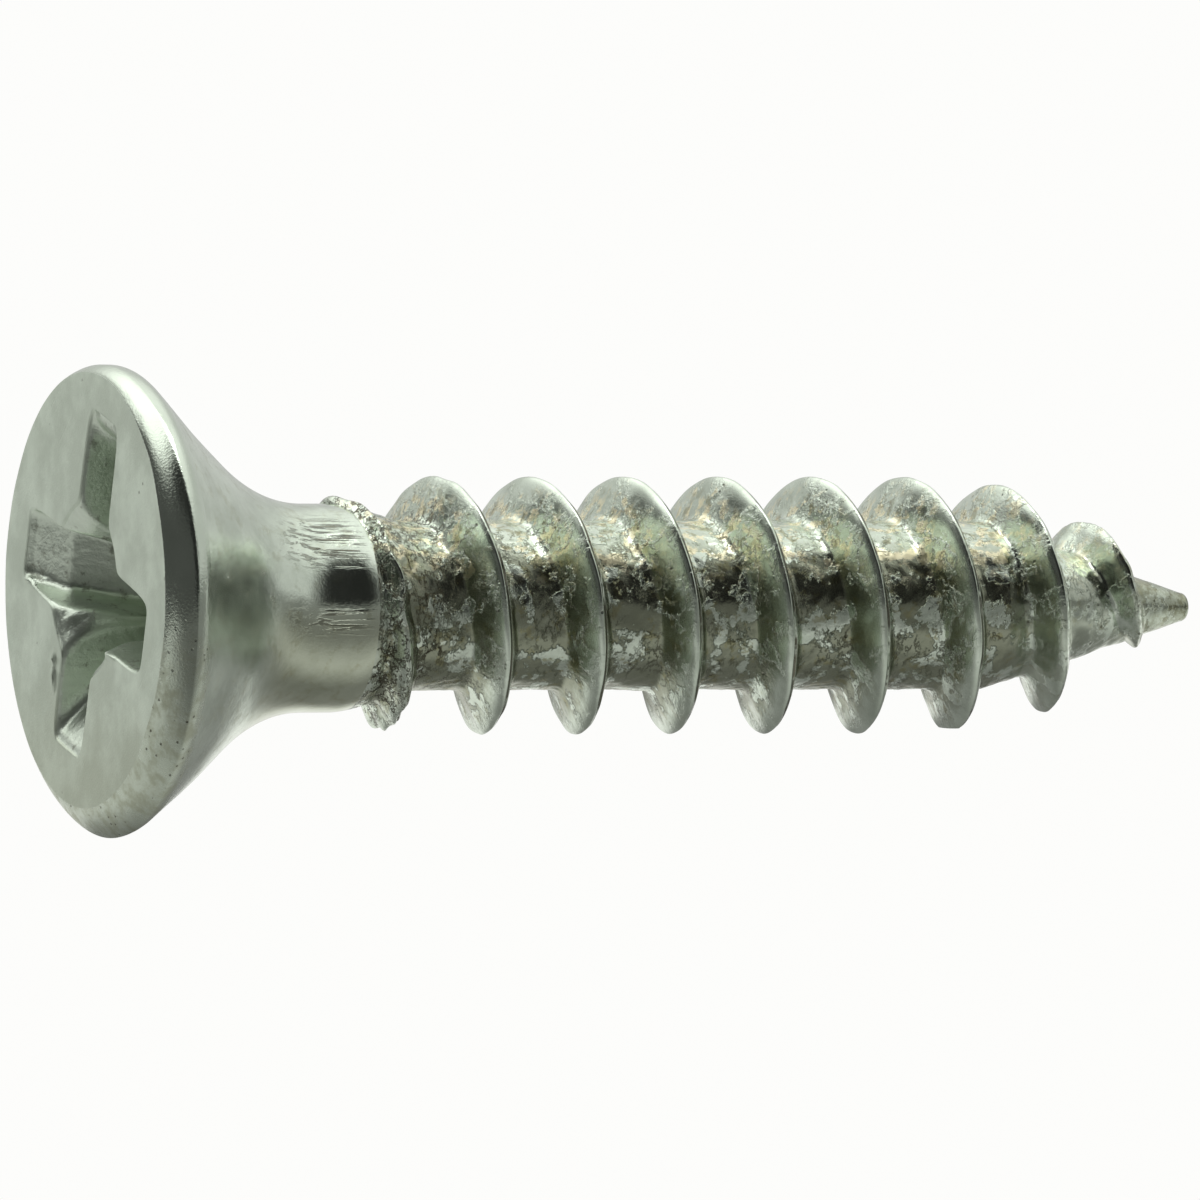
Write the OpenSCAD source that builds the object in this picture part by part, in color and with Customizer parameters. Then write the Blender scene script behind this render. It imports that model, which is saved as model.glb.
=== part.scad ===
// Countersunk wood screw with a cross recess, a No. 8 by 3/4 inch, in millimetres.
// The screw lies along +X, with the centre of its flat head face at the origin and its tip at +X.
// It is one piece of cold-formed wire. Each node is one named region of that piece, and the
// regions meet face to face.

/* [Head] */
// Length from the flat of the head to the tip
length = 19.05; // [17:0.05:25.4]
// Diameter of the head's rim
head_d = 7.5; // [7.2:0.05:8.2]
// Height of the straight rim round the head
rim_h = 0.48; // [0.46:0.02:0.6]
// Radius of the edge between the face and the rim
face_edge_r = 0.24; // [0.15:0.01:0.25]
// Radius of the edge between the rim and the countersink
seat_edge_r = 0.45; // [0.2:0.05:0.5]
// Full angle of the countersink
head_angle = 84; // [80:1:88]

/* [Cross recess] */
// Distance across the recess, from wing end to opposite wing end, at the face
recess_d = 5.3; // [4.8:0.1:5.5]
// Width of a wing at the face
wing_w = 1.25; // [1.1:0.05:1.4]
// Depth of the wings
wing_depth = 2.3; // [1.8:0.1:2.4]
// Slope of the wing ends from the screw's axis
wing_slope = 26.5; // [24:0.5:28]
// Slope of the wing sides from the screw's axis
wing_draft = 5.75; // [4:0.25:7]
// Diameter of the hollow where the wings meet, at the face
hub_d = 2.5; // [2:0.1:2.6]
// Depth of the hollow's conical bottom, at the axis
recess_depth = 2.9; // [2.6:0.1:3]
// Turn of the recess about the screw's axis
recess_turn = 18; // [0:1:89]

/* [Shank] */
// Diameter of the plain shank
shank_d = 3.32; // [3.2:0.02:3.4]
// Radius of the fillet between the countersink and the shank
neck_r = 2.2; // [1.6:0.1:2.4]
// Distance from the head's face to the end of the plain shank
shank_end = 4.3; // [4.2:0.05:4.5]

/* [Thread] */
// Diameter over the thread's crests
thread_d = 4.1; // [4:0.02:4.3]
// Diameter of the thread's root, the core
core_d = 2.7; // [2.6:0.02:2.9]
// Axial distance between turns
pitch = 1.635; // [1.5:0.005:1.8]
// Width of the ridge where it leaves the core
ridge_w = 1.2; // [1:0.02:1.3]
// Sharpness of the ridge: 1 is a plain wave, and more is a thinner crest
ridge_power = 1.8; // [1:0.1:2.2]
// Distance from the head's face to where the ridge rises out of the shank
ridge_start = 3.9; // [3.85:0.05:4.1]
// Distance from the head's face to where the ridge has its full height
ridge_full = 5.75; // [5.5:0.05:6.4]

/* [Point] */
// Full angle of the point's core
point_angle = 35; // [32:1:40]
// Radius of the blunted tip
tip_r = 0.22; // [0.15:0.01:0.3]
// Radius of the edge of the blunted tip
tip_edge_r = 0.12; // [0.05:0.01:0.14]

/* [Hidden] */
$fn = 96;

// Surface colours of the plated steel: bright where it is smooth, duller in the thread.
bright_zinc = [0.76, 0.77, 0.75];
satin_zinc = [0.70, 0.71, 0.68];
stained_zinc = [0.60, 0.60, 0.54];

head_r = head_d / 2;
shank_r = shank_d / 2;
core_r = core_d / 2;
thread_r = thread_d / 2;
seat_half = head_angle / 2;
point_half = point_angle / 2;
arc_steps = 6;

// Where the countersink and the shank would meet with no fillet between them.
corner_at = rim_h + (head_r - shank_r) / tan(seat_half);
// Length of the fillet's tangents, measured from that corner.
neck_tangent = neck_r * tan(seat_half / 2);
head_end = corner_at - neck_tangent * cos(seat_half);
head_end_r = shank_r + neck_tangent * sin(seat_half);
neck_end = corner_at + neck_tangent;
// Length of the tangents of the rounding between the rim and the countersink.
seat_tangent = seat_edge_r * tan(seat_half / 2);

// The recess is cut from this far above the face.
cut_above = 0.2;
// Radius of the recess's hollow at the bottom of the wings.
hub_bottom_r = 0.85;

// The shank steps down to the core over this length.
shoulder_len = 1.0;
core_start = shank_end + shoulder_len;
// Where the point's cone runs into the rounded edge of the tip, and its radius there.
cone_end = length - tip_edge_r * (1 - sin(point_half));
cone_end_r = tip_r - tip_edge_r * (1 - cos(point_half));
point_start = cone_end - (core_r - cone_end_r) / tan(point_half);

// The ridge is drawn as rings of points, this many to a turn.
rings_per_turn = 32;
// Steps across the ridge, from one foot over the crest to the other.
ridge_steps = 6;
// Angle at which the ridge crosses the top of the screw, and one place along the axis where it does.
top_angle = 180;
crest_at_top = 5.898;
// The ridge's last stretch, measured back from the tip.
point_ridge_start = length - 4.85;
ridge_end = length - 0.45;
// The least height of the ridge, at its two ends, and its width there as a share of its full width.
end_h = 0.05;
end_share = 0.45;
// The ridge gets lower over the point: distance from the tip, then height above the core.
point_ridge_h = [[-4.85, thread_r - core_r], [-2.5, 0.63], [-1.7, 0.6], [-0.9, 0.24], [-0.45, end_h]];

// The screw lies along X: what is drawn along Z is laid down here.
module along_x() {
    rotate([0, 90, 0]) children();
}

// Points of an arc about (x, y), from angle a to angle b.
function arc(x, y, r, a, b) =
    [for (i = [0:arc_steps]) let (t = a + (b - a) * i / arc_steps) [x + r * cos(t), y + r * sin(t)]];

// Radius of the screw without its ridge, at distance z from the head's face.
function body_r(z) =
    z < shank_end ? shank_r
    : z < core_start ? shank_r + (core_r - shank_r) * (z - shank_end) / shoulder_len
    : z < point_start ? core_r
    : max(cone_end_r, core_r - (z - point_start) * tan(point_half));

// Height of the ridge above that radius: it rises out of the shank, and fades out on the point.
function ridge_h(z) =
    z < ridge_full ? max(end_h, shank_r + end_h
        + (thread_r - shank_r - end_h) * (z - ridge_start) / (ridge_full - ridge_start) - body_r(z))
    : z < point_ridge_start ? thread_r - core_r
    : lookup(z - length, point_ridge_h);

// Half the ridge's width: it gets narrower as it gets lower.
function ridge_half(z) =
    ridge_w / 2 * (end_share + (1 - end_share) * min(1, ridge_h(z) / (thread_r - core_r)));

// The ridge's section, a raised wave: its height at s, where s is -1 and 1 at the feet and 0 at the crest.
function wave(s) = pow((1 + cos(180 * s)) / 2, ridge_power);

// One ring of the ridge, in the plane through the axis at this place along the helix.
// The feet and the middle of its inner side stand on the flats of a prism just outside the body.
function ridge_ring(z) =
    let (a = top_angle + 360 * (z - crest_at_top) / pitch,
         grow = 1 / cos(180 / rings_per_turn),
         half = ridge_half(z),
         over = [for (i = [0:ridge_steps]) let (s = 2 * i / ridge_steps - 1)
             [body_r(z + s * half) * grow + ridge_h(z) * wave(s), z + s * half]],
         under = [[body_r(z) * grow, z]])
    [for (p = concat(over, under)) [p[0] * cos(a), p[0] * sin(a), p[1]]];

// A stretch of the helical ridge between two places along the axis.
module ridge(from, to) {
    steps = ceil((to - from) / pitch * rings_per_turn);
    rings = [for (i = [0:steps]) ridge_ring(from + (to - from) * i / steps)];
    size = ridge_steps + 2;
    sides = [for (i = [0:steps - 1], k = [0:size - 1])
        let (a = i * size + k, b = i * size + (k + 1) % size)
        each [[a, a + size, b], [b, a + size, b + size]]];
    // An end is a fan from the middle of the inner side.
    fan = [for (k = [0:size - 3]) [size - 1, k, k + 1]];
    last = [for (f = fan) [for (k = [2:-1:0]) steps * size + f[k]]];
    polyhedron(points = [for (r = rings) each r], faces = concat(sides, fan, last), convexity = 10);
}

// A short length of the screw, turned from its outline.
module turned(outline) {
    rotate_extrude() polygon(outline);
}

// One bar of the cross: two opposite wings, wider at the face than at the bottom.
module wing_bar() {
    bottom_w = wing_w - 2 * wing_depth * tan(wing_draft);
    above_w = wing_w + 2 * cut_above * tan(wing_draft);
    rotate([90, 0, 90]) linear_extrude(height = head_d, center = true)
        polygon([[-above_w / 2, -cut_above], [above_w / 2, -cut_above],
            [bottom_w / 2, wing_depth], [-bottom_w / 2, wing_depth]]);
}

// The recess: crossed bars that a cone cuts to length, and a hollow with a conical bottom where they meet.
module cross_recess() {
    wing_r = recess_d / 2;
    rotate([0, 0, recess_turn]) {
        intersection() {
            translate([0, 0, -cut_above]) cylinder(h = wing_depth + cut_above,
                r1 = wing_r + cut_above * tan(wing_slope), r2 = wing_r - wing_depth * tan(wing_slope));
            for (turn = [0, 90]) rotate([0, 0, turn]) wing_bar();
        }
        turned([[0, -cut_above], [hub_d / 2, -cut_above], [hub_bottom_r, wing_depth], [0, recess_depth]]);
    }
}

module head() {
    color(bright_zinc) along_x() difference() {
        turned(concat([[0, 0]],
            arc(head_r - face_edge_r, face_edge_r, face_edge_r, -90, 0),
            arc(head_r - seat_edge_r, rim_h - seat_tangent, seat_edge_r, 0, seat_half),
            [[head_end_r, head_end], [0, head_end]]));
        cross_recess();
    }
}

module neck() {
    color(bright_zinc) along_x() difference() {
        turned(concat([[0, head_end]],
            arc(shank_r + neck_r, neck_end, neck_r, 180 + seat_half, 180),
            [[0, neck_end]]));
        // The bottom of the recess reaches into the neck.
        cross_recess();
    }
}

module shank() {
    color(bright_zinc) along_x() translate([0, 0, neck_end])
        cylinder(h = shank_end - neck_end, r = shank_r);
}

module shoulder() {
    color(satin_zinc) along_x() translate([0, 0, shank_end])
        cylinder(h = shoulder_len, r1 = shank_r, r2 = core_r);
}

module core() {
    color(stained_zinc) along_x() translate([0, 0, core_start])
        cylinder(h = point_start - core_start, r = core_r);
}

module point() {
    color(satin_zinc) along_x() turned(concat([[0, point_start], [core_r, point_start]],
        arc(tip_r - tip_edge_r, length - tip_edge_r, tip_edge_r, point_half, 90),
        [[0, length]]));
}

module thread_start() {
    color(satin_zinc) along_x() ridge(ridge_start, ridge_full);
}

module thread() {
    color(stained_zinc) along_x() ridge(ridge_full, point_ridge_start);
}

module point_thread() {
    color(satin_zinc) along_x() ridge(point_ridge_start, ridge_end);
}

head();
neck();
shank();
shoulder();
core();
point();
thread_start();
thread();
point_thread();
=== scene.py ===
"""A countersunk wood screw with a cross recess, in bright zinc-plated steel, and the stage it is shown on.

The screw lies along +X with the centre of its head's face at the origin. Every length is in metres.
Round the axis, angles are measured from straight up (+Z) towards the front (-Y).
"""
import math

import bpy
import numpy as np
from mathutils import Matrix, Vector


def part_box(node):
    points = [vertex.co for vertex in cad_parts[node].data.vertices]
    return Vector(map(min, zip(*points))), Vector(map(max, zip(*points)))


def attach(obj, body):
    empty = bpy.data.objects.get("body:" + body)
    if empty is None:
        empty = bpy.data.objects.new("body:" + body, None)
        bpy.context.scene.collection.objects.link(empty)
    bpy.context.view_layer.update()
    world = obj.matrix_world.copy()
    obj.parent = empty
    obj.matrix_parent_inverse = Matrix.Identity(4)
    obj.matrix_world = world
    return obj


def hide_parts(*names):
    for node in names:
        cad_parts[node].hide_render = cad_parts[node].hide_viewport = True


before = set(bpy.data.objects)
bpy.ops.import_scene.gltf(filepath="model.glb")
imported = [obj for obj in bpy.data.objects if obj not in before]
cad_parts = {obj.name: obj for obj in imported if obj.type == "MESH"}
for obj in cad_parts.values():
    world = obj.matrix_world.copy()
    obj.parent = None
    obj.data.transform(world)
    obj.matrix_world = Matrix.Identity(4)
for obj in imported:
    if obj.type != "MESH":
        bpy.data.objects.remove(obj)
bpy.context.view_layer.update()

bl_info = {
    "name": "Wood screw",
    "version": (1, 0, 0),
    "blender": (4, 5, 0),
    "location": "3D View > Sidebar > Wood screw",
    "description": "Builds a plated countersunk wood screw and the stage it is shown on",
    "category": "Add Mesh",
}

MM = 0.001

# Places along the axis, and radii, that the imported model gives.
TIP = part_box("point")[1].x
POINT_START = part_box("point")[0].x
CORE_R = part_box("core")[1].z
SHANK_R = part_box("shank")[1].z
NECK_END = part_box("neck")[1].x
SHANK_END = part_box("shank")[1].x
SHOULDER_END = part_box("shoulder")[1].x
RIM_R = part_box("head")[1].z
THREAD_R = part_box("thread")[1].z


# ---------------------------------------------------------------- settings

def length(label, description, value):
    """A length that a user can change, given here in millimetres."""
    return bpy.props.FloatProperty(name=label, description=description, default=value * MM,
                                   unit="LENGTH", precision=5)


def share(label, description, value, top=1.0):
    """A plain number from 0 to top."""
    return bpy.props.FloatProperty(name=label, description=description, default=value, min=0.0, max=top)


def turn(label, description, degrees):
    """An angle, given here in degrees."""
    return bpy.props.FloatProperty(name=label, description=description, default=math.radians(degrees),
                                   subtype="ANGLE")


def colour(label, description, value):
    """A colour, given as linear red, green and blue."""
    return bpy.props.FloatVectorProperty(name=label, description=description, default=value,
                                         subtype="COLOR", size=3, min=0.0, max=1.0)


class ScrewHeadSettings(bpy.types.PropertyGroup):
    """Sizes of the head's face, rim and countersink."""
    face_radius: length("Face radius", "Radius of the flat of the face", 3.45)
    face_shift_y: length("Face shift Y", "How far the flat and the recess lie off the axis, across", 0.2)
    face_shift_z: length("Face shift Z", "How far the flat and the recess lie off the axis, upwards", 0.18)
    edge_depth: length("Edge depth", "Depth of the rounded edge of the face where it is widest", 0.4)
    edge_shape: share("Edge shape", "Shape of that edge: 1 is an ellipse and 2 a straight chamfer", 1.55, 2.0)
    rim_height: length("Rim height", "Where the countersink would start if its edge were sharp", 0.457)
    half_angle: turn("Countersink half angle", "Slope of the countersink from the axis", 42.3)
    edge_softness: length("Edge softness", "Rounding between the rim and the countersink", 0.13)
    neck_softness: length("Neck softness", "Rounding between the countersink and the shank", 0.77)


class ScrewRecessSettings(bpy.types.PropertyGroup):
    """Sizes of the cross recess."""
    turn: turn("Turn", "Turn of the cross about the axis", 17.5)
    half_width: length("Wing half width", "Half the width of a wing at the face", 0.62)
    reach: length("Reach", "Distance from the recess's centre to a wing's end", 2.62)
    hub: length("Hub radius", "Radius of the hollow where the wings meet, below its chamfer", 1.02)
    hub_chamfer: length("Hub chamfer", "How much wider the hollow is at the face", 0.36)
    depth: length("Wing depth", "Depth of the wings", 2.3)
    floor: length("Floor depth", "Depth of the hollow's conical bottom at its centre", 2.9)
    end_slope: turn("End slope", "Slope of the wing ends from the axis", 26.5)
    side_slope: turn("Side slope", "Slope of the wing sides from the axis", 5.75)
    lip: length("Lip", "Rounding of the recess's edge", 0.05)


class ScrewThreadSettings(bpy.types.PropertyGroup):
    """Sizes of the thread's ridge and of the body below it."""
    pitch: length("Pitch", "Distance along the axis between turns", 1.635)
    crest_at: length("Crest place", "A place along the axis where the crest crosses the top", 5.898)
    half_width: length("Half width", "Half the ridge's width at its foot, between straight flanks", 0.275)
    crest_round: length("Crest rounding", "Length along the axis over which the crest is rounded", 0.10)
    foot_round: length("Foot rounding", "Height over which the flank runs out into the root", 0.11)
    foot: length("Foot", "Distance from the crest at which the ridge ends in the root", 0.64)
    start: length("Start", "Where the ridge begins to rise out of the shank", 3.574)
    full: length("Full height", "Where the ridge has its full height", 5.562)
    taper: length("Taper", "Where the crest begins to come down towards the tip", 14.2)
    root_start: length("Root start", "Where the shank begins to narrow to the root", 4.05)
    root_full: length("Root", "Where the root has its full depth", 5.5)
    tip_radius: length("Tip radius", "Radius of the blunted tip", 0.2)


class ScrewPlatingSettings(bpy.types.PropertyGroup):
    """Colours of the plating and of what has settled in the thread. The film, cream and olive colours
    also paint shade and a highlight.
    """
    zinc: colour("Zinc", "Colour of clean plating", (0.745, 0.83, 0.715))
    grey_zinc: colour("Grey zinc", "Colour of duller plating", (0.56, 0.63, 0.53))
    # The film colour also paints shade on the lower side of the thread's root.
    film: colour("Film", "Dull film in the root", (0.19, 0.195, 0.115))
    # The cream colour also paints a highlight on the upper side of the thread's root.
    cream: colour("Cream", "Pale bloom in the root", (0.95, 0.88, 0.60))
    # The olive colour is a stain, and it also paints shade on the lower face, rim, neck and shank.
    olive: colour("Olive", "Passivation stain", (0.30, 0.29, 0.15))
    brown: colour("Brown", "Dark brown stain", (0.085, 0.070, 0.036))


class ScrewStageSettings(bpy.types.PropertyGroup):
    """The camera, the floor and the lights."""
    azimuth: turn("Azimuth", "Direction the camera looks from, round the vertical", -23.0)
    distance: length("Distance", "Distance from the camera to the screw", 300.0)
    view_width: length("View width", "Width of what the camera sees at the screw", 18.957)
    side: length("Side", "How far to the right of the head the view is centred", 8.073)
    rise: length("Rise", "How far above the axis the view is centred", 0.084)
    floor_front: share("Floor in front", "Brightness of the floor in front of the screw", 0.24)
    floor_back: share("Floor behind", "Brightness of the floor behind the screw", 1.0)
    top_light: share("Overhead", "Brightness high on the left, before what is added overhead", 1.2, 5.0)
    back_light: share("Backdrop", "Brightness of the backdrop behind the screw", 0.62, 5.0)
    dark_side: share("Dark side", "Brightness of the room on the camera's side", 0.015)


# ---------------------------------------------------------------- shapes

def smoothstep(low, high, x):
    """0 below low, 1 above high, and 3t^2 - 2t^3 between them."""
    t = np.clip((x - low) / (high - low), 0.0, 1.0)
    return t * t * (3.0 - 2.0 * t)


def smooth_min(a, b, k):
    """The lesser of a and b, rounded where they are within k of each other."""
    h = np.clip(0.5 + 0.5 * (b - a) / k, 0.0, 1.0)
    return b * (1.0 - h) + a * h - k * h * (1.0 - h)


def smooth_max(a, b, k):
    """The greater of a and b, rounded where they are within k of each other."""
    return -smooth_min(-a, -b, k)


def unevenness(points, size, seed, waves=14):
    """Smooth random unevenness, mostly between -1 and 1: a sum of plane waves about this long."""
    rng = np.random.default_rng(seed)
    directions = rng.normal(size=(waves, 3))
    directions /= np.linalg.norm(directions, axis=1)[:, None]
    directions *= 2.0 * math.pi / size * rng.uniform(0.6, 1.5, waves)[:, None]
    phases = rng.uniform(0.0, 2.0 * math.pi, waves)
    return np.sin(points @ directions.T + phases).sum(axis=-1) / math.sqrt(waves)


def around(x, angle, radius):
    """Points at this place along the axis, angle round it and distance from it."""
    x, angle, radius = np.broadcast_arrays(x, angle, radius)
    return np.stack([x, -radius * np.sin(angle), radius * np.cos(angle)], axis=-1)


def body_radius(x):
    """Radius without the ridge: the lesser of rim and cone, or the shank if greater, then the point."""
    head = bpy.context.scene.screw_head
    thread = bpy.context.scene.screw_thread
    cone = RIM_R - (x - head.rim_height) * math.tan(head.half_angle)
    upper = smooth_min(RIM_R, cone, head.edge_softness)
    shank = SHANK_R + (CORE_R - SHANK_R) * smoothstep(thread.root_start, thread.root_full, x)
    body = smooth_max(upper, shank, head.neck_softness)
    reach = np.clip((x - POINT_START) / (TIP - POINT_START), 0.0, 1.0)
    point = thread.tip_radius + (CORE_R - thread.tip_radius) * (1.0 - reach ** 1.04)
    return np.where(x > POINT_START, point, body)


def crest_radius(x):
    """Radius of the crest line: level along the thread, then falling to the tip on a power curve."""
    thread = bpy.context.scene.screw_thread
    reach = np.clip((x - thread.taper) / (TIP - thread.taper), 0.0, 1.0)
    end = 0.3 * thread.tip_radius
    dip = 0.26 * MM * np.exp(-((x - 18.3 * MM) / (0.45 * MM)) ** 2)
    return end + (THREAD_R - end) * (1.0 - reach ** 2.4) - dip


def rolled_surface(points):
    """Unevenness of the rolled root and flanks. It fades in where the thread starts and out at the tip."""
    x = points[..., 0]
    radius = np.hypot(points[..., 1], points[..., 2])
    root = 1.0 - smoothstep(1.45 * MM, 1.95 * MM, radius)
    threaded = smoothstep(4.0 * MM, 5.2 * MM, x) * (1.0 - smoothstep(17.6 * MM, 18.9 * MM, x))
    swell = 0.006 * MM * unevenness(points, 1.3 * MM, 3)
    lumps = 0.008 * MM * unevenness(points, 0.50 * MM, 4) * root
    grit = 0.003 * MM * unevenness(points, 0.19 * MM, 5) * root
    return threaded * (swell + lumps + grit)


def push_out(points, amount):
    """Moves points away from the axis."""
    radius = np.hypot(points[..., 1], points[..., 2])
    scale = 1.0 + amount / np.maximum(radius, 0.05 * MM)
    return points * np.stack([np.ones_like(scale), scale, scale], axis=-1)


def grid_faces(rows, columns):
    """Quads between the rows of a grid whose last column joins its first."""
    row, column = np.meshgrid(np.arange(rows - 1), np.arange(columns), indexing="ij")
    after = (column + 1) % columns
    corners = [row * columns + column, row * columns + after,
               (row + 1) * columns + after, (row + 1) * columns + column]
    return np.stack(corners, axis=-1).reshape(-1, 4)


def fan_faces(ring, centre, outward):
    """Triangles from each step of a ring of vertex numbers to one centre vertex."""
    after = np.roll(ring, -1)
    pair = (ring, after) if outward else (after, ring)
    return np.stack([pair[0], pair[1], np.full_like(ring, centre)], axis=-1)


def middle_line(x):
    """How far the screw's middle line lies above the axis: it wanders a little from end to end."""
    raised = 0.06 * MM * (1.0 - smoothstep(0.4 * MM, 1.4 * MM, x))
    lowered = 0.045 * MM * smoothstep(0.4 * MM, 1.6 * MM, x) * (1.0 - smoothstep(4.0 * MM, 6.5 * MM, x))
    return raised - lowered - 0.03 * MM * smoothstep(16.0 * MM, 18.5 * MM, x)


def add_piece(name, grid, start, end, materials, zones=None, replaces=()):
    """A closed piece from a grid of points (rows, columns, 3) with a point that closes each end.

    zones gives each row of faces the number of its material.
    """
    rows, columns = grid.shape[:2]
    points = np.concatenate([grid.reshape(-1, 3), [start, end]])
    points[:, 2] += middle_line(points[:, 0])
    quads = grid_faces(rows, columns)
    first = fan_faces(np.arange(columns), rows * columns, outward=False)
    last = fan_faces((rows - 1) * columns + np.arange(columns), rows * columns + 1, outward=True)
    mesh = bpy.data.meshes.new(name)
    mesh.from_pydata(points.tolist(), [], quads.tolist() + first.tolist() + last.tolist())
    for material in materials:
        mesh.materials.append(material)
    if zones is not None:
        caps = [np.full(columns, zones[0]), np.full(columns, zones[-1])]
        numbers = np.concatenate([np.repeat(zones, columns), *caps])
        mesh.polygons.foreach_set("material_index", numbers.astype(np.int32))
    mesh.polygons.foreach_set("use_smooth", np.ones(len(mesh.polygons), bool))
    mesh.set_sharp_from_angle(angle=math.radians(60.0))
    mesh.update()
    piece = bpy.data.objects.new(name, mesh)
    bpy.context.scene.collection.objects.link(piece)
    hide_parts(*replaces)
    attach(piece, "root")
    return piece


def turned_piece(name, places, material, replaces, columns=360):
    """A piece turned about the axis between two places, its radius given by body_radius."""
    angles = np.linspace(0.0, 2.0 * math.pi, columns, endpoint=False)
    grid = around(places[:, None], angles[None, :], body_radius(places)[:, None])
    grid = push_out(grid, rolled_surface(grid))
    start, end = (places[0], 0.0, 0.0), (places[-1], 0.0, 0.0)
    return add_piece(name, grid, start, end, [material], replaces=replaces)


# ---------------------------------------------------------------- the recess

def recess_radius(angle, depth, grow):
    """Distance from the recess's centre to its wall, at each angle and depth, for a recess wider by grow.

    A wing is the lesser of its straight side and its end, rounded by a power mean, and the
    cross is the greater of the four wings and the round hub, rounded the same way. The hub
    widens like a chamfer near the face. The top wing ends in a shallow scoop, and the bottom
    and left ones in ramps.
    """
    recess = bpy.context.scene.screw_recess
    half_width = recess.half_width + grow - depth * math.tan(recess.side_slope)
    chamfer = recess.hub_chamfer * np.exp(-depth / (0.3 * MM))
    hub = recess.hub + chamfer + grow - 0.19 * depth
    scoop = 0.22 * MM * np.exp(-depth / (0.12 * MM))
    left_ramp = -2.0 * np.clip(depth - 0.12 * MM, 0.0, 0.32 * MM)
    bottom_ramp = -0.75 * np.minimum(depth, 0.75 * MM)
    ends = [scoop, 0.0, bottom_ramp, left_ramp]
    total = np.abs(hub) ** 16.0
    for quarter in range(4):
        off = angle - recess.turn - quarter * math.pi / 2.0
        forward = np.maximum(np.cos(off), 1e-3)
        reach = recess.reach + grow + ends[quarter] - depth * math.tan(recess.end_slope)
        side = half_width / np.maximum(np.abs(np.sin(off)), 1e-3)
        wing = ((reach / forward) ** -9.0 + side ** -9.0) ** (-1.0 / 9.0)
        total = total + np.where(np.cos(off) > 0.0, wing, 1e-9) ** 16.0
    return total ** (1.0 / 16.0)


def spread_angles(count):
    """Angles round the head, closer together where the recess's outline is long for its angle."""
    fine = np.linspace(0.0, 2.0 * math.pi, 7201)
    radius = recess_radius(fine, 0.0, 0.0)
    steps = np.hypot(np.diff(radius), radius[1:] * np.diff(fine))
    travelled = np.concatenate([[0.0], np.cumsum(steps)])
    mixed = 0.55 * travelled / travelled[-1] + 0.45 * fine / fine[-1]
    return np.interp(np.arange(count) / count, mixed, fine)


def raise_burrs(points):
    """Raises the burrs that the punch left round the recess: bell curves, each also pulled sideways."""
    # Each burr: Y and Z of its middle, half length, half width, lean, height, and pull along Y and Z.
    # All are in millimetres except the lean, which is in radians.
    burrs = [
        (2.25, 0.36, 0.45, 0.045, 0.0, 0.10, (0.0, 0.05)),
        (1.55, 0.33, 0.30, 0.05, 0.1, 0.07, (0.0, 0.08)),
        (1.12, -0.22, 0.16, 0.14, 0.6, 0.24, (-0.30, 0.12)),
        (1.55, -1.1, 0.30, 0.04, 1.45, 0.05, (-0.05, 0.0)),
        (-0.75, -0.85, 0.30, 0.05, 0.2, 0.04, (0.0, 0.03)),
    ]
    y, z = points[..., 1] / MM, points[..., 2] / MM
    near_face = np.exp(-(points[..., 0] / (0.16 * MM)) ** 2)
    moved = points.copy()
    for middle_y, middle_z, long, wide, lean, height, pull in burrs:
        along = (y - middle_y) * math.cos(lean) + (z - middle_z) * math.sin(lean)
        across = (z - middle_z) * math.cos(lean) - (y - middle_y) * math.sin(lean)
        bell = np.exp(-(along / long) ** 4 - (across / wide) ** 2) * near_face
        moved += bell[..., None] * np.array([-height, pull[0], pull[1]]) * MM
    return moved


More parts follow.
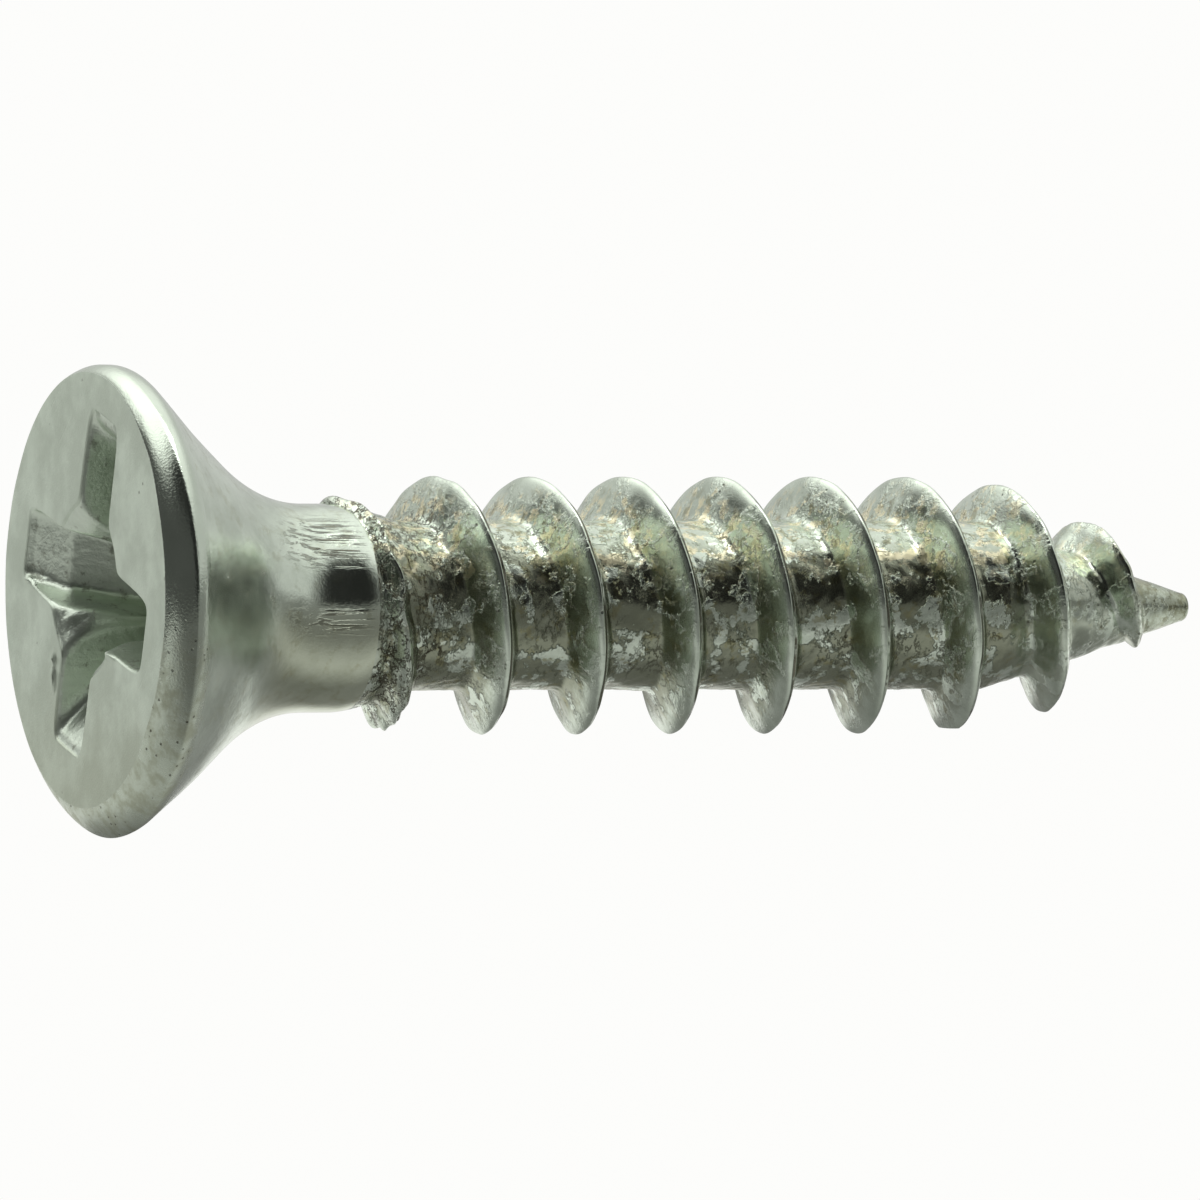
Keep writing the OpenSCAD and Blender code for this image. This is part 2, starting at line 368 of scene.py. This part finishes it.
def head_rows(angles):
    """The head's rows of points: the recess's floor and wall, the face, the rim, and on to the neck's end."""
    head = bpy.context.scene.screw_head
    recess = bpy.context.scene.screw_recess
    centre = np.array([0.0, head.face_shift_y, head.face_shift_z])
    outward = around(0.0, angles, 1.0)

    def ring(depth, radius):
        inward = np.broadcast_to(depth, angles.shape)[:, None] * np.array([1.0, 0.0, 0.0])
        return centre + outward * radius[:, None] + inward

    rows, zones = [], []

    def add(row, zone):
        rows.append(row)
        zones.append(zone)

    # The floor is a shallow cone down to the centre.
    bottom = recess_radius(angles, recess.depth, 0.0)
    for part in np.linspace(0.12, 0.94, 6):
        add(ring(recess.floor - (recess.floor - recess.depth) * part, bottom * part), 0)
    # The wall runs up to the rounding of the lip.
    for part in np.linspace(0.0, 1.0, 38) ** 0.8:
        depth = recess.depth + (recess.lip - recess.depth) * part
        add(ring(depth, recess_radius(angles, depth, 0.0)), 0)
    for bend in np.linspace(0.0, 0.5 * math.pi, 7)[1:]:
        depth = recess.lip * (1.0 - math.sin(bend))
        add(ring(depth, recess_radius(angles, 0.0, recess.lip * (1.0 - math.cos(bend)))), 1)
    lip = recess_radius(angles, 0.0, recess.lip)
    for part in (1.0 - np.cos(np.linspace(0.0, math.pi, 24)))[1:-1] / 2.0:
        add(ring(0.0, lip + (head.face_radius - lip) * part), 1)
    # The face's edge is nearly a chamfer, wide and deep where the flat stops short of the rim.
    flat = ring(0.0, np.full(angles.shape, head.face_radius))
    gap = RIM_R - np.hypot(flat[:, 1], flat[:, 2])
    edge_depth = head.edge_depth * np.sqrt(np.clip(gap / gap.max(), 0.01, 1.0))
    rim = around(edge_depth, angles, body_radius(edge_depth))
    for bend in np.linspace(0.0, 0.5 * math.pi, 13):
        row = flat + (rim - flat) * math.sin(bend) ** head.edge_shape
        row[:, 0] = edge_depth * (1.0 - math.cos(bend) ** head.edge_shape)
        add(row, 2)
    # Below it the rim, the countersink and the neck follow the body's radius.
    cone_start = 0.62 * MM
    for part in np.linspace(0.0, 1.0, 9)[1:]:
        place = edge_depth + (cone_start - edge_depth) * part
        add(around(place, angles, body_radius(place)), 2)
    for place in np.linspace(cone_start, NECK_END, 52)[1:]:
        add(around(place, angles, body_radius(np.full(angles.shape, place))), 3)
    return np.array(rows), np.array(zones[:-1])


# ---------------------------------------------------------------- the thread

def ridge_offsets(count):
    """Distances from the crest along the axis, closest together at the crest."""
    foot = bpy.context.scene.screw_thread.foot
    steps = np.linspace(-1.0, 1.0, count)
    return foot * (0.3 * steps + 0.7 * np.abs(steps) ** 1.7 * np.sign(steps))


def ridge_height(offset, height, crest_shift, fold):
    """Height of the ridge's section above the root.

    Straight flanks fall from a rounded crest, a hyperbola carries them out into the root, and
    the foot sinks just under the root. The fold is a narrow groove beside the crest.
    """
    thread = bpy.context.scene.screw_thread
    away = offset - crest_shift
    rounded = np.sqrt(away ** 2 + thread.crest_round ** 2) - thread.crest_round
    half_width = thread.half_width * np.clip(height / (THREAD_R - CORE_R), 0.3, 1.0)
    straight = height * (1.0 - rounded / half_width)
    foot_round = np.minimum(thread.foot_round, 0.3 * height + 0.01 * MM)
    curved = 0.5 * (straight + np.sqrt(straight ** 2 + foot_round ** 2))
    sink = 0.03 * MM * np.abs(offset / offset[:, -1:]) ** 5
    groove = fold * np.exp(-((away - 0.035 * MM) / (0.02 * MM)) ** 2)
    lip = 0.45 * fold * np.exp(-((away - 0.085 * MM) / (0.025 * MM)) ** 2)
    submerged = 0.025 * MM * (1.0 - smoothstep(0.0, 0.12 * MM, height))
    return curved - sink - groove + lip - submerged


def ridge_piece(name, start, end, material, replaces):
    """A stretch of the helical ridge: its section carried along the helix between two places."""
    thread = bpy.context.scene.screw_thread
    rows_per_turn = 270
    steps = int((end - start) / thread.pitch * rows_per_turn) + 2
    place = np.linspace(start, end, steps)[:, None]
    angle = 2.0 * math.pi * (place - thread.crest_at) / thread.pitch
    crest_line = around(place, angle, THREAD_R)
    ragged = 1.0 - smoothstep(4.6 * MM, 6.4 * MM, place)
    grow = smoothstep(thread.start, thread.full, place)
    shift = (0.010 + 0.05 * ragged) * MM * unevenness(crest_line, 0.9 * MM, 11)
    nicks = (0.004 + 0.04 * ragged) * MM * unevenness(crest_line, 0.8 * MM, 12)
    height = np.maximum(crest_radius(place) - body_radius(place), 0.0) * grow
    offset = ridge_offsets(53)[None, :] * np.clip(height / (THREAD_R - CORE_R), 0.3, 1.0)
    height = height + nicks * np.minimum(1.0, height / (0.3 * MM))
    depth_of_fold = 0.5 + 0.5 * unevenness(crest_line, 0.8 * MM, 13)
    fold = 0.03 * MM * np.clip(depth_of_fold, 0.15, 1.2) * np.minimum(1.0, height / (0.4 * MM))
    along = place + offset
    top = around(along, angle, body_radius(along) + ridge_height(offset, height, shift, fold))
    top = push_out(top, rolled_surface(top))
    under_offset = np.array([0.75, 0.0, -0.75])[None, :] * offset[:, -1:]
    under_place = place + under_offset
    under = around(under_place, angle, np.maximum(body_radius(under_place) - 0.12 * MM, 0.04 * MM))
    grid = np.concatenate([top, under], axis=1)
    middles = around(place[[0, -1]], angle[[0, -1]], body_radius(place[[0, -1]]) - 0.02 * MM)[:, 0]
    return add_piece(name, grid[:, ::-1], middles[0], middles[1], [material], replaces=replaces)


# ---------------------------------------------------------------- shader arithmetic

class Wire:
    """The output of a node, with arithmetic that adds Math nodes."""

    def __init__(self, nodes, socket):
        self.nodes = nodes
        self.socket = socket

    def math(self, operation, first, second=0.0):
        return self.nodes.add("ShaderNodeMath", {"operation": operation}, {0: first, 1: second})

    def absolute(self):
        return self.math("ABSOLUTE", self)

    def __add__(self, other):
        return self.math("ADD", self, other)

    def __radd__(self, other):
        return self.math("ADD", other, self)

    def __sub__(self, other):
        return self.math("SUBTRACT", self, other)

    def __rsub__(self, other):
        return self.math("SUBTRACT", other, self)

    def __mul__(self, other):
        return self.math("MULTIPLY", self, other)

    def __rmul__(self, other):
        return self.math("MULTIPLY", other, self)


class Nodes:
    """A node tree that nodes are added to by type, settings and sockets."""

    def __init__(self, tree):
        self.tree = tree
        self.tree.nodes.clear()

    def add(self, kind, settings=None, sockets=None, output=0):
        """Adds a node, sets it up, gives its sockets values or links, and returns one of its outputs."""
        node = self.tree.nodes.new(kind)
        for name, value in (settings or {}).items():
            setattr(node, name, value)
        for name, value in (sockets or {}).items():
            if isinstance(value, Wire):
                self.tree.links.new(value.socket, node.inputs[name])
            else:
                node.inputs[name].default_value = value
        return Wire(self, node.outputs[output]) if node.outputs else node

    def between(self, low, high, value):
        """0 below low, 1 above high, and a smooth step between them. Low may be the greater."""
        return self.add("ShaderNodeMapRange", {"interpolation_type": "SMOOTHSTEP"},
                        {"Value": value, "From Min": low, "From Max": high})

    def mix(self, factor, first, second):
        """A colour between two colours."""
        ends = [c if isinstance(c, Wire) else (*c, 1.0) for c in (first, second)]
        return self.add("ShaderNodeMix", {"data_type": "RGBA"}, {0: factor, 6: ends[0], 7: ends[1]}, 2)

    def vector(self, operation, first, second=(0.0, 0.0, 0.0), output=0):
        return self.add("ShaderNodeVectorMath", {"operation": operation}, {0: first, 1: second}, output)

    def noise(self, where, scale, detail=2.0, roughness=0.5):
        return self.add("ShaderNodeTexNoise", {}, {"Vector": where, "Scale": scale, "Detail": detail,
                                                   "Roughness": roughness})

    def cells(self, where, scale):
        return self.add("ShaderNodeTexVoronoi", {}, {"Vector": where, "Scale": scale}, "Distance")


class Finish(Nodes):
    """A material, with places on the screw in millimetres along and round its axis."""

    def __init__(self, name):
        self.material = bpy.data.materials.new(name)
        self.material.use_nodes = True
        super().__init__(self.material.node_tree)
        place = self.add("ShaderNodeTexCoord", output="Object")
        self.place = self.add("ShaderNodeVectorMath", {"operation": "SCALE"}, {0: place, "Scale": 1.0 / MM})
        self.along = self.add("ShaderNodeSeparateXYZ", {}, {0: self.place}, 0)
        self.y = self.add("ShaderNodeSeparateXYZ", {}, {0: self.place}, 1)
        self.z = self.add("ShaderNodeSeparateXYZ", {}, {0: self.place}, 2)
        flat = self.vector("MULTIPLY", self.place, (0.0, 1.0, 1.0))
        self.radius = self.vector("LENGTH", flat, output="Value")

    def stretched(self, x, y, z):
        """The place with each of its axes scaled."""
        return self.vector("MULTIPLY", self.place, (x, y, z))

    def done(self, base, roughness, metallic, height, distance):
        """Closes the material: metal with this colour, roughness and fine relief."""
        relief = {"Height": height, "Distance": distance * MM, "Strength": 1.0}
        normal = self.add("ShaderNodeBump", {}, relief)
        surface = self.add("ShaderNodeBsdfPrincipled", {}, {
            "Base Color": base, "Roughness": roughness, "Metallic": metallic, "Normal": normal})
        self.add("ShaderNodeOutputMaterial", {}, {"Surface": surface})
        return self.material


# ---------------------------------------------------------------- finishes

def once(build):
    """Gives back the material that this function made before, if it has made one."""
    def get():
        name = build.__name__
        return bpy.data.materials.get(name) or build(name)
    return get


@once
def satin_face(name):
    """The head's flat: even satin plating with soft clouds, fine grain and faint handling scratches."""
    plating = bpy.context.scene.screw_plating
    f = Finish(name)
    clouds = f.noise(f.place, 0.9, 4.0, 0.6)
    grain = f.noise(f.place, 22.0, 3.0, 0.6)
    turned = f.add("ShaderNodeVectorRotate", {"rotation_type": "X_AXIS"}, {"Vector": f.place, "Angle": 0.7})
    scratches = f.noise(f.vector("MULTIPLY", turned, (1.0, 0.35, 8.0)), 1.3, 3.0, 0.6)
    line = f.between(0.66, 0.74, scratches)
    specks = f.between(0.10, 0.04, f.cells(f.place, 2.6)) * f.between(0.52, 0.60, clouds)
    base = f.mix(f.between(0.35, 0.7, clouds), tuple(plating.grey_zinc), tuple(plating.zinc))
    # Painted shade: the lower part of the face is turned olive and darker.
    lower_face_painted_shade = f.between(-0.6, -3.2, f.z + 1.6 * (clouds - 0.5))
    base = f.mix(0.24 * lower_face_painted_shade, base, tuple(plating.olive))
    base = f.mix(specks * 0.6, base, tuple(plating.brown))
    roughness = 0.36 + 0.16 * clouds + 0.06 * grain - 0.05 * line
    height = 0.5 * grain + 0.6 * clouds - 0.35 * line - 0.6 * specks
    return f.done(base, roughness, 0.96, height, 0.012)


@once
def punched_recess(name):
    """The recess: drawn in the punch's direction, with brown dirt and an olive cast deep down."""
    plating = bpy.context.scene.screw_plating
    f = Finish(name)
    drawn = f.noise(f.stretched(0.5, 5.0, 5.0), 1.5, 4.0, 0.6)
    broken = f.noise(f.place, 3.4, 4.0, 0.65)
    deep = f.between(0.15, 1.9, f.along)
    dirt = f.between(0.56, 0.70, broken)
    base = f.mix(drawn, tuple(plating.grey_zinc), tuple(plating.zinc))
    base = f.mix(0.10 * deep, base, tuple(plating.olive))
    base = f.mix(dirt * 0.5, base, tuple(plating.brown))
    roughness = 0.24 + 0.16 * broken + 0.15 * dirt
    height = 0.4 * drawn + 1.0 * broken
    return f.done(base, roughness, 0.80, height, 0.02)


@once
def bright_rim(name):
    """The rim: smooth plating, with specks and stains that grow denser towards its underside, and an
    olive tint there that is painted shade.
    """
    plating = bpy.context.scene.screw_plating
    f = Finish(name)
    clouds = f.noise(f.place, 1.3, 3.0, 0.5)
    grain = f.noise(f.place, 26.0, 2.0, 0.5)
    streaks = f.noise(f.stretched(5.0, 1.2, 1.2), 1.8, 4.0, 0.6)
    # low is the underside, where specks and stains thicken and an olive tint is laid on as painted shade.
    low = f.between(0.4, -1.6, f.z)
    specks = f.between(0.16, 0.06, f.cells(f.place, 5.5)) * low
    stain = f.between(0.40, 0.64, f.noise(f.place, 3.4, 6.0, 0.72)) * low
    base = f.mix(clouds, tuple(plating.grey_zinc), tuple(plating.zinc))
    base = f.mix(0.34 * stain + 0.10 * low, base, tuple(plating.olive))
    base = f.mix(0.7 * specks, base, tuple(plating.brown))
    roughness = 0.13 + 0.08 * clouds + 0.10 * low + 0.15 * stain
    height = 0.25 * grain + 0.5 * streaks - 0.8 * specks
    return f.done(base, roughness, 0.97, height, 0.014)


@once
def drawn_plating(name):
    """The countersink, neck and shank: smooth, clouded plating.

    Drag marks run along the shank, and the undersides of the neck and shank are turned olive as
    painted shade.
    """
    plating = bpy.context.scene.screw_plating
    f = Finish(name)
    clouds = f.noise(f.place, 1.1, 4.0, 0.6)
    patches = f.noise(f.place, 3.2, 5.0, 0.65)
    grain = f.noise(f.place, 24.0, 3.0, 0.6)
    shank = f.between(2.3, 3.6, f.along)
    drags = f.noise(f.stretched(0.55, 9.0, 9.0), 1.7, 4.0, 0.6)
    upper = f.between(0.5, 0.85, f.z) * f.between(1.5, 1.15, f.z)
    lower = f.between(-0.55, -0.3, f.z) * f.between(0.02, -0.12, f.z)
    marks = f.between(0.50, 0.60, drags) * shank * (upper + 0.7 * lower) * f.between(4.3, 3.8, f.along)
    tarnish = f.between(0.5, 0.7, patches)
    base = f.mix(f.between(0.3, 0.7, clouds), tuple(plating.grey_zinc), tuple(plating.zinc))
    # Painted shade: the undersides of the neck and shank are turned olive and darker.
    under = f.between(0.3, -0.5, f.z) * f.between(1.9, 2.7, f.along)
    base = f.mix(0.25 * tarnish + 0.40 * under, base, tuple(plating.olive))
    roughness = 0.15 + 0.08 * clouds + 0.08 * tarnish - 0.09 * shank
    base = f.mix(0.8 * marks, base, tuple(plating.brown))
    height = 0.2 * grain + 0.5 * patches + 1.6 * marks
    return f.done(base, roughness, 0.96, height, 0.010)


@once
def rolled_thread(name):
    """The thread: smooth flanks, a rougher crest with a fine seam, and a root under a dark film.

    Bare, cream and brown patches break the film, and there are cracks and pits. The film is laid on
    far more heavily on the lower side, as painted shade, and the cream is kept to the upper side, as a
    painted highlight.
    """
    plating = bpy.context.scene.screw_plating
    thread = bpy.context.scene.screw_thread
    f = Finish(name)
    broad = f.noise(f.place, 1.5, 4.0, 0.6)
    blotch = f.noise(f.place, 2.1, 6.0, 0.62)
    fine = f.noise(f.place, 7.0, 4.0, 0.7)
    grain = f.noise(f.place, 30.0, 2.0, 0.6)
    # The root is the low part of the thread. Its edge wanders with the blotches.
    root = f.between(2.06, 1.60, f.radius - 1.1 * (blotch - 0.5))
    started = f.between(3.9, 4.6, f.along) * (0.45 + 0.55 * f.between(16.2, 15.2, f.along))
    dirty = root * started
    # Bare metal shows through the dull film in patches with crisp edges.
    bare = f.between(0.515, 0.555, blotch)
    # The film in the root is real, but it is made far heavier on the lower side: painted shade.
    film = dirty * (1.0 - bare) * (0.12 + 0.88 * f.between(1.15, 0.6, f.z))
    # The cream bloom is real, but it is kept to the upper side: a painted highlight.
    cream = f.between(0.50, 0.60, f.noise(f.stretched(1.0, 1.3, 1.3), 3.1, 5.0, 0.65))
    cream = dirty * cream * f.between(0.1, 0.9, f.z)
    brown = dirty * f.between(0.54, 0.62, f.noise(f.place, 3.7, 5.0, 0.68))
    crack = f.between(0.030, 0.008, (f.noise(f.stretched(1.6, 1.0, 1.0), 2.6, 5.0, 0.7) - 0.5).absolute())
    torn = f.between(3.7, 4.0, f.along) * f.between(6.2, 5.0, f.along)
    crack = crack * (0.5 * dirty * f.between(0.45, 0.6, broad) + 0.7 * torn)
    pits = f.between(0.20, 0.08, f.cells(f.place, 5.2)) * f.between(0.52, 0.62, broad)
    # Rolling leaves a fine seam along the crest, found from the distance to the helix.
    angle = f.add("ShaderNodeMath", {"operation": "ARCTAN2"}, {0: -1.0 * f.y, 1: f.z})
    turns = (f.along - thread.crest_at / MM) * (MM / thread.pitch) - angle * (0.5 / math.pi)
    across = f.add("ShaderNodeMath", {"operation": "WRAP"}, {0: turns, 1: 0.5, 2: -0.5}) * (thread.pitch / MM)
    crest = f.between(1.80, 1.96, f.radius)
    seam = f.between(0.034, 0.012, (across - 0.055).absolute()) * f.between(0.38, 0.52, broad) * crest
    base = f.mix(f.between(0.3, 0.7, broad), tuple(plating.grey_zinc), tuple(plating.zinc))
    tip = f.between(17.6, 18.3, f.along) * f.between(1.5, 0.9, f.radius)
    tip = tip * (0.4 + 0.6 * f.between(0.4, 0.6, fine))
    base = f.mix(0.72 * film + 0.55 * tip, base, tuple(plating.film))
    base = f.mix(0.8 * cream, base, tuple(plating.cream))
    base = f.mix(0.6 * brown, base, tuple(plating.olive))
    base = f.mix(f.between(0.0, 1.0, crack) * 0.9, base, tuple(plating.brown))
    base = f.mix(0.6 * pits + 0.85 * seam, base, tuple(plating.brown))
    roughness = 0.11 + 0.05 * broad + 0.09 * film + 0.10 * cream + 0.06 * fine * dirty + 0.12 * crest
    metallic = 0.97 - 0.12 * cream - 0.2 * crack
    raised = 0.05 * grain + 0.15 * blotch + dirty * (0.45 * fine + 0.7 * bare)
    height = raised - 1.0 * crack - 0.5 * pits - 0.8 * seam
    return f.done(base, roughness, metallic, height, 0.019)


# ---------------------------------------------------------------- operators

class SCREW_OT_head(bpy.types.Operator):
    """Builds the head with its cross recess, rim and countersink, as far as the end of the neck"""
    bl_idname = "screw.head"
    bl_label = "Head"

    def execute(self, context):
        angles = spread_angles(600)
        rows, zones = head_rows(angles)
        rows = raise_burrs(rows)
        on_face = np.abs(rows[..., 0]) < 0.01 * MM
        rows[..., 0] += 0.006 * MM * unevenness(rows, 1.4 * MM, 21) * on_face
        recess, head = context.scene.screw_recess, context.scene.screw_head
        bottom = (recess.floor, head.face_shift_y, head.face_shift_z)
        materials = [punched_recess(), satin_face(), bright_rim(), drawn_plating()]
        end = (NECK_END, 0.0, 0.0)
        add_piece("head", rows, bottom, end, materials, zones, ("head", "neck"))
        return {"FINISHED"}


class SCREW_OT_shank(bpy.types.Operator):
    """Builds the plain shank and the shoulder where it narrows to the core"""
    bl_idname = "screw.shank"
    bl_label = "Shank and shoulder"

    def execute(self, context):
        shank = np.linspace(NECK_END, SHANK_END, 30)
        turned_piece("shank", shank, drawn_plating(), ("shank",))
        shoulder = np.linspace(SHANK_END, SHOULDER_END, 50)
        turned_piece("shoulder", shoulder, rolled_thread(), ("shoulder",))
        return {"FINISHED"}


class SCREW_OT_core(bpy.types.Operator):
    """Builds the core that the thread stands on, and the point"""
    bl_idname = "screw.core"
    bl_label = "Core and point"

    def execute(self, context):
        core = np.linspace(SHOULDER_END, POINT_START, 260)
        turned_piece("core", core, rolled_thread(), ("core",), 320)
        # The last rows close over the blunted tip.
        tip_round = context.scene.screw_thread.tip_radius * 0.5
        point = np.linspace(POINT_START, TIP - tip_round, 150)
        angles = np.linspace(0.0, 2.0 * math.pi, 240, endpoint=False)
        side = around(point[:, None], angles[None, :], body_radius(point)[:, None])
        side = push_out(side, rolled_surface(side))
        bend = np.linspace(0.0, 0.5 * math.pi, 10)[1:, None]
        inner = body_radius(point[-1:])[0] - tip_round
        cap_place = TIP - tip_round + tip_round * np.sin(bend)
        cap = around(cap_place, angles[None, :], inner + tip_round * np.cos(bend))
        grid = np.concatenate([side, cap])
        start, end = (POINT_START, 0.0, 0.0), (TIP, 0.0, 0.0)
        add_piece("point", grid, start, end, [rolled_thread()], replaces=("point",))
        return {"FINISHED"}


class SCREW_OT_thread(bpy.types.Operator):
    """Builds the thread's ridge: where it starts, its full height, and where it fades out on the point"""
    bl_idname = "screw.thread"
    bl_label = "Thread"

    def execute(self, context):
        thread = context.scene.screw_thread
        end = TIP - 0.35 * MM
        ridge_piece("thread_start", thread.start + 0.1 * MM, thread.full, rolled_thread(),
                    ("thread_start",))
        ridge_piece("thread", thread.full, thread.taper, rolled_thread(), ("thread",))
        ridge_piece("point_thread", thread.taper, end, rolled_thread(), ("point_thread",))
        return {"FINISHED"}


class SCREW_OT_stage(bpy.types.Operator):
    """Sets the floor, the soft surroundings, the lights and the camera"""
    bl_idname = "screw.stage"
    bl_label = "Stage"

    def execute(self, context):
        stage = context.scene.screw_stage
        surroundings(stage)
        floor(stage)
        softbox("overhead_softbox", (0.006, -0.012, 0.075), (0.009, 0.0, 0.0), 0.05, 0.03, 0.012)
        camera(stage)
        context.scene.view_settings.view_transform = "Standard"
        return {"FINISHED"}


def surroundings(stage):
    """A white room that the plating reflects, whose brightness depends on direction alone.

    It is brightest high up, most of all on the left. Low down it is brighter on the left than on
    the right, but dim on the far right and nearly dark on the far left. It is nearly dark on the
    camera's side too. The camera itself sees plain white.
    """
    world = bpy.data.worlds.new("studio")
    world.use_nodes = True
    bpy.context.scene.world = world
    w = Nodes(world.node_tree)
    direction = w.add("ShaderNodeTexCoord", output="Generated")
    x = w.add("ShaderNodeSeparateXYZ", {}, {0: direction}, 0)
    z = w.add("ShaderNodeSeparateXYZ", {}, {0: direction}, 2)
    toward = w.vector("DOT_PRODUCT", direction, (math.sin(stage.azimuth), -math.cos(stage.azimuth), 0.0),
                      output="Value")
    front = w.between(0.10, 0.44, toward)
    high_left = w.between(0.1, -0.3, x) * w.between(0.42, 0.68, z)
    overhead = 0.5 * w.between(0.4, 0.8, z)
    low_left = 0.38 * w.between(-0.1, -0.3, x) * w.between(0.35, 0.1, z)
    level = stage.back_light + (stage.top_light - stage.back_light) * high_left + overhead + low_left
    shade = stage.dark_side + 0.12 * w.between(0.45, 0.9, x)
    room = level + (shade - level) * front
    far_right = w.between(0.72, 0.92, x) * w.between(0.16, 0.06, z)
    room = room + (0.14 - room) * far_right
    far_left = w.between(-0.50, -0.74, x) * w.between(0.62, 0.36, z)
    room = room + (0.07 - room) * far_left
    seen = w.add("ShaderNodeLightPath", output="Is Camera Ray")
    strength = w.add("ShaderNodeMix", {"data_type": "FLOAT"}, {0: seen, 2: room, 3: 0.98})
    light = w.add("ShaderNodeBackground", {}, {"Color": (1.0, 1.0, 0.985, 1.0), "Strength": strength})
    w.add("ShaderNodeOutputWorld", {}, {"Surface": light})


def floor(stage):
    """A pale floor that touches the head's rim and the thread's crests, so it slopes to the screw's axis.

    The camera sees it plain white. What the plating reflects is a painted pool of light, darker towards
    the front, towards the left and behind the screw on the right, with a painted shadow under the screw.
    """
    crest_at = bpy.context.scene.screw_thread.taper
    slope = (RIM_R - THREAD_R) / (crest_at - 0.4 * MM)
    far = 2.0
    square = ((-far, -far), (far, -far), (far, far), (-far, far))
    corners = [(x, y, -RIM_R + (x - 0.4 * MM) * slope) for x, y in square]
    mesh = bpy.data.meshes.new("floor")
    mesh.from_pydata(corners, [], [(0, 1, 2, 3)])
    plane = bpy.data.objects.new("floor", mesh)
    bpy.context.scene.collection.objects.link(plane)
    material = bpy.data.materials.new("pale_floor")
    material.use_nodes = True
    n = Nodes(material.node_tree)
    seen = n.add("ShaderNodeLightPath", output="Is Camera Ray")
    pale = n.add("ShaderNodeEmission", {}, {"Color": (1.0, 1.0, 0.985, 1.0), "Strength": 0.98})
    place = n.add("ShaderNodeTexCoord", output="Object")
    place = n.add("ShaderNodeVectorMath", {"operation": "SCALE"}, {0: place, "Scale": 1.0 / MM})
    x = n.add("ShaderNodeSeparateXYZ", {}, {0: place}, 0)
    y = n.add("ShaderNodeSeparateXYZ", {}, {0: place}, 1)
    # What the plating reflects: a painted pool of light, brighter behind than in front, darker on the left
    # and behind on the right.
    lit = stage.floor_front + (stage.floor_back - stage.floor_front) * n.between(-6.0, 1.5, y)
    lit = lit * (0.62 + 0.38 * n.between(-3.0, 4.0, x))
    lit = lit * (1.0 - 0.75 * n.between(6.0, 13.0, x) * n.between(4.8, 8.0, y))
    # A painted shadow of the screw on the floor under it.
    under = n.between(2.6, 0.6, y.absolute()) * n.between(-1.0, 0.5, x) * n.between(20.0, 18.0, x)
    lit = lit * (1.0 - 0.72 * under)
    matt = n.add("ShaderNodeEmission", {}, {"Color": (1.0, 1.0, 0.97, 1.0), "Strength": lit})
    surface = n.add("ShaderNodeMixShader", {}, {0: seen, 1: matt, 2: pale})
    # From below the floor is clear, so that the screw's underside can be looked at.
    below = n.add("ShaderNodeNewGeometry", output="Backfacing") * seen
    clear = n.add("ShaderNodeBsdfTransparent")
    surface = n.add("ShaderNodeMixShader", {}, {0: below, 1: surface, 2: clear})
    n.add("ShaderNodeOutputMaterial", {}, {"Surface": surface})
    mesh.materials.append(material)


def softbox(name, place, aim, width, height, power):
    """A soft light that the camera doesn't see."""
    data = bpy.data.lights.new(name, "AREA")
    data.shape = "RECTANGLE"
    data.size, data.size_y, data.energy = width, height, power
    light = bpy.data.objects.new(name, data)
    light.location = place
    light.rotation_euler = (Vector(aim) - Vector(place)).to_track_quat("-Z", "Y").to_euler()
    light.visible_camera = False
    bpy.context.scene.collection.objects.link(light)


def camera(stage):
    """A long lens a little round to the head's side, level with the axis."""
    data = bpy.data.cameras.new("camera")
    data.lens = data.sensor_width * stage.distance / stage.view_width
    data.clip_start, data.clip_end = 0.01, 10.0
    view = bpy.data.objects.new("camera", data)
    back = Vector((math.sin(stage.azimuth), -math.cos(stage.azimuth), 0.0))
    right = Vector((math.cos(stage.azimuth), math.sin(stage.azimuth), 0.0))
    view.location = back * stage.distance + right * stage.side + Vector((0.0, 0.0, stage.rise))
    view.rotation_euler = (-back).to_track_quat("-Z", "Y").to_euler()
    bpy.context.scene.collection.objects.link(view)
    bpy.context.scene.camera = view


class SCREW_PT_panel(bpy.types.Panel):
    """Lists the steps that build the screw and its stage"""
    bl_label = "Wood screw"
    bl_idname = "SCREW_PT_panel"
    bl_space_type = "VIEW_3D"
    bl_region_type = "UI"
    bl_category = "Wood screw"

    def draw(self, context):
        for step in OPERATORS:
            self.layout.operator(step.bl_idname)


SETTINGS = {
    "screw_head": ScrewHeadSettings,
    "screw_recess": ScrewRecessSettings,
    "screw_thread": ScrewThreadSettings,
    "screw_plating": ScrewPlatingSettings,
    "screw_stage": ScrewStageSettings,
}
OPERATORS = (SCREW_OT_head, SCREW_OT_shank, SCREW_OT_core, SCREW_OT_thread, SCREW_OT_stage)


def register():
    """Registers the settings, the operators and the panel."""
    for name, settings in SETTINGS.items():
        bpy.utils.register_class(settings)
        setattr(bpy.types.Scene, name, bpy.props.PointerProperty(type=settings))
    for kind in (*OPERATORS, SCREW_PT_panel):
        bpy.utils.register_class(kind)


def unregister():
    """Takes away what register added."""
    for kind in (SCREW_PT_panel, *reversed(OPERATORS)):
        bpy.utils.unregister_class(kind)
    for name, settings in reversed(SETTINGS.items()):
        delattr(bpy.types.Scene, name)
        bpy.utils.unregister_class(settings)


def main():
    """Builds the screw and its stage."""
    register()
    bpy.ops.screw.head()
    bpy.ops.screw.shank()
    bpy.ops.screw.core()
    bpy.ops.screw.thread()
    bpy.ops.screw.stage()


if __name__ == "__main__":
    main()
